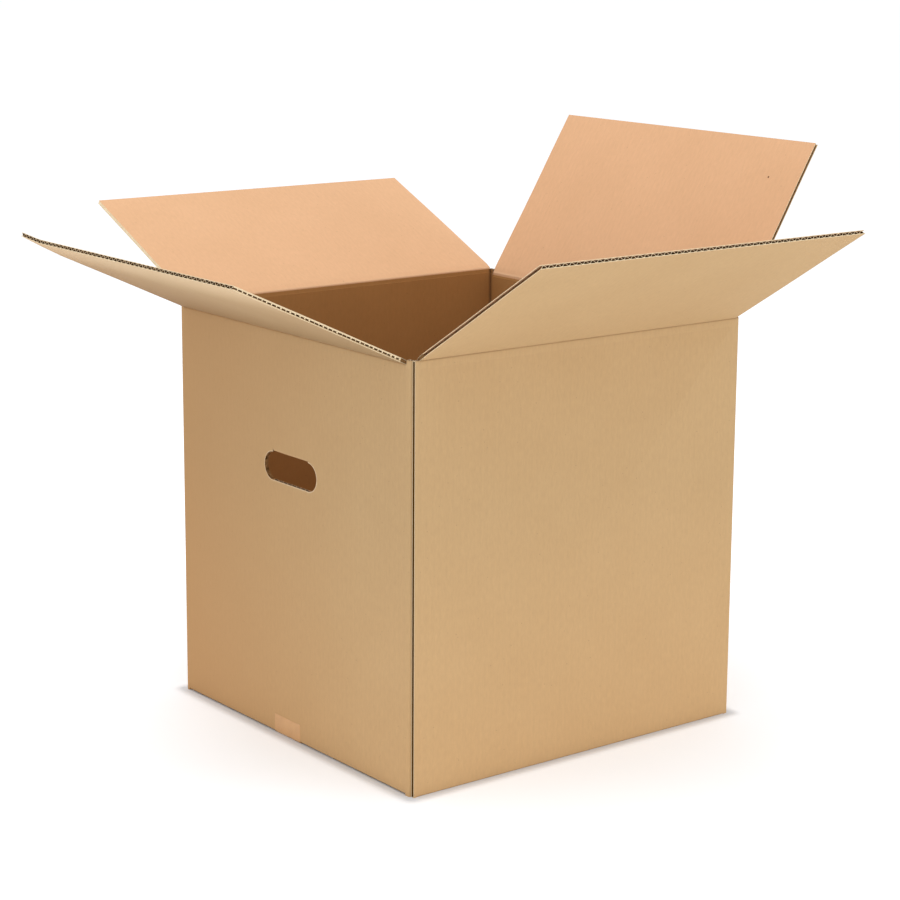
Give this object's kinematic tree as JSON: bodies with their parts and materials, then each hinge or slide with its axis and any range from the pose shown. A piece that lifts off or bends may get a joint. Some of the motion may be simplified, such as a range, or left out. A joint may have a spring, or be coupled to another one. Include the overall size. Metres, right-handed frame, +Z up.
{
  "type": "open cardboard box",
  "caption": "Slotted carton of single-wall corrugated board with open hinged top flaps, hand holes in its sides and a taped bottom.",
  "frame": {"origin": "middle of the flat underside, under the centre of the four walls", "axes": "+Z up, X along the wide walls, which carry the outer flaps; the front wall is at -Y and the left wall with its glued corner at -X"},
  "size_m": [0.7121, 0.7668, 0.596],
  "materials": {
    "board": "matt kraft liner, unprinted",
    "tape": "clear tan packing tape, satin"
  },
  "bodies": {
    "carton": {"carton_body": "board", "bottom_tape": "tape"},
    "front_flap": {"front_top_flap": "board"},
    "back_flap": {"back_top_flap": "board"},
    "left_flap": {"left_top_flap": "board"},
    "right_flap": {"right_top_flap": "board"}
  },
  "joints": [
    {"name": "front_crease", "type": "hinge", "parent": "carton", "child": "front_flap", "pos_m": [0.0008, -0.2042, 0.424], "axis": [1, 0, 0], "range_deg": [-148.4, 96.6]},
    {"name": "back_crease", "type": "hinge", "parent": "carton", "child": "back_flap", "pos_m": [0.002, 0.2042, 0.424], "axis": [-1, 0, 0], "range_deg": [-155.6, 89.4]},
    {"name": "left_crease", "type": "hinge", "parent": "carton", "child": "left_flap", "pos_m": [-0.2072, 0.00235, 0.4197], "axis": [0, -1, 0], "range_deg": [-155.2, 89.8]},
    {"name": "right_crease", "type": "hinge", "parent": "carton", "child": "right_flap", "pos_m": [0.2072, -0.0015, 0.4197], "axis": [0, 1, 0], "range_deg": [-122.3, 122.7]}
  ]
}
